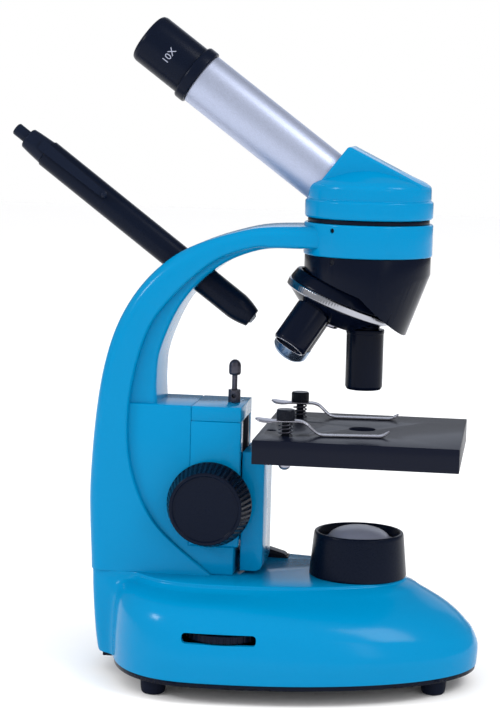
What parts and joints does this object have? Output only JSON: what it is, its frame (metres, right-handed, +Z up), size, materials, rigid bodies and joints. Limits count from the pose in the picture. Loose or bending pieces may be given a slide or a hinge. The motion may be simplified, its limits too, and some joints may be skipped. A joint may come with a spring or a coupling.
{
  "type": "microscope",
  "caption": "Student's monocular light microscope with inclined eyepiece tube, revolving nosepiece, rack-and-pinion stage with clips, built-in illuminator and a penlight in the arm.",
  "frame": {"origin": "on the ground, under the middle of the outline seen from above", "axes": "+Z up, +X from the arm towards the stage and the front of the base, +Y towards the far side with the DC inlet"},
  "size_m": [0.2194, 0.126, 0.2969],
  "materials": {
    "blue_paint": "glossy enamel",
    "black_paint": "satin enamel",
    "black_plastic": "fine grained, moulded",
    "black_gloss": "moulded, glossy",
    "silver_satin": "satin, finely speckled",
    "blue_silver": "turned and anodised",
    "bright_steel": "brushed",
    "black_steel": "blackened",
    "chrome": "polished, milled",
    "brass": "machined",
    "rubber": "moulded",
    "glass": "polished",
    "frosted_glass": "frosted",
    "clear_lamp": "clear moulded",
    "board_green": "printed board",
    "cell_wrap": "printed sleeve without words"
  },
  "bodies": {
    "stand": {"base_shell": "blue_paint", "base_plate": "black_paint", "rubber_feet": "rubber", "plate_screws": "bright_steel", "arm_bolts": "bright_steel", "battery_cells": "cell_wrap", "battery_holder": "black_plastic", "illuminator_housing": "black_plastic", "collector_lens": "frosted_glass", "lamp_board": "board_green", "lamp_led": "clear_lamp", "dimmer_control": "black_gloss", "switch_frame": "black_plastic", "power_jack": "black_gloss", "arm": "blue_paint", "focus_housing": "blue_paint", "housing_cap": "blue_paint", "guide_rails": "bright_steel", "shaft_bushings": "brass", "stop_collar": "black_steel", "nosepiece_housing": "black_paint", "set_screws": "black_steel", "swivel_ring": "black_plastic", "turret_axle": "bright_steel"},
    "stage": {"stage_plate": "black_paint", "stage_bracket": "blue_paint", "focus_rack": "brass", "stage_screws": "black_steel", "diaphragm_screw": "black_steel", "clip_screws": "black_steel", "clip_springs": "bright_steel"},
    "focus_drive": {"focus_shaft": "bright_steel", "focus_pinion": "brass", "focus_knob_near": "black_plastic", "focus_knob_far": "black_plastic"},
    "turret": {"turret_disc": "black_paint", "turret_grip": "chrome", "objective_high": "black_paint", "objective_low": "black_paint", "objective_medium": "black_paint", "objective_tip": "blue_silver", "objective_lenses": "glass"},
    "head": {"head_housing": "blue_paint", "prism": "glass", "eyepiece_tube": "silver_satin"},
    "eyepiece": {"eyepiece_barrel": "black_plastic", "eyepiece_ring": "black_plastic", "eyepiece_lenses": "glass"},
    "near_clip": {"stage_clip_near": "bright_steel"},
    "far_clip": {"stage_clip_far": "bright_steel"},
    "diaphragm": {"diaphragm_disc": "black_plastic"},
    "stop": {"stop_screw": "black_steel"},
    "dimmer": {"dimmer_wheel": "black_plastic"},
    "rocker": {"switch_rocker": "black_gloss"},
    "penlight": {"pen_barrel": "black_plastic", "pen_tail_cap": "black_gloss", "pen_led": "clear_lamp", "pen_clip": "black_gloss"},
    "push_button": {"pen_button": "black_gloss"},
    "door": {"battery_door": "black_plastic"}
  },
  "joints": [
    {"name": "stage_lift", "type": "slide", "parent": "stand", "child": "stage", "axis": [0, 0, 1], "range_m": [-0.0015, 0.014]},
    {"name": "focus_turn", "type": "hinge", "parent": "stand", "child": "focus_drive", "pos_m": [-0.0116, 0, 0.0809], "axis": [0, 1, 0], "range_deg": [-134, 15]},
    {"name": "turret_turn", "type": "hinge", "parent": "stand", "child": "turret", "pos_m": [0.054, 0, 0.2035], "axis": [0.3665, 0, 0.9304], "continuous": true},
    {"name": "head_turn", "type": "hinge", "parent": "stand", "child": "head", "pos_m": [0.054, 0, 0.21], "axis": [0, 0, 1], "continuous": true},
    {"name": "eyepiece_pull", "type": "slide", "parent": "head", "child": "eyepiece", "axis": [-0.8028, 0, 0.5962], "range_m": [0, 0.018]},
    {"name": "near_clip_turn", "type": "hinge", "parent": "stage", "child": "near_clip", "pos_m": [0.0224, -0.0285, 0.1208], "axis": [0, 0, 1], "range_deg": [-40, 40]},
    {"name": "far_clip_turn", "type": "hinge", "parent": "stage", "child": "far_clip", "pos_m": [0.0224, 0.0285, 0.1208], "axis": [0, 0, 1], "range_deg": [-40, 40]},
    {"name": "diaphragm_turn", "type": "hinge", "parent": "stage", "child": "diaphragm", "pos_m": [0.0645, 0, 0.109], "axis": [0, 0, 1], "continuous": true},
    {"name": "stop_screw_travel", "type": "slide", "parent": "stand", "child": "stop", "axis": [0, 0, 1], "range_m": [0, 0.008]},
    {"name": "dimmer_turn", "type": "hinge", "parent": "stand", "child": "dimmer", "pos_m": [-0.0007, -0.0444, 0.0289], "axis": [0, 0, 1], "range_deg": [0, 270]},
    {"name": "rocker_tip", "type": "hinge", "parent": "stand", "child": "rocker", "pos_m": [0.0085, 0.0286, 0.0469], "axis": [0, 1, 0], "range_deg": [-12, 0]},
    {"name": "penlight_slide", "type": "slide", "parent": "stand", "child": "penlight", "axis": [0.8002, 0, -0.5997], "range_m": [-0.04, 0]},
    {"name": "pen_button_press", "type": "slide", "parent": "penlight", "child": "push_button", "axis": [0.8002, 0, -0.5997], "range_m": [0, 0.002], "stiffness_N_per_m": 800, "springref_m": -0.001},
    {"name": "battery_door_swing", "type": "hinge", "parent": "stand", "child": "door", "pos_m": [0.0331, 0, 0.0084], "axis": [0, 1, 0], "range_deg": [-95, 0]}
  ],
  "couplings": [
    {"joint": "focus_turn", "follows": "stage_lift", "rad_per_m": -166.67}
  ]
}
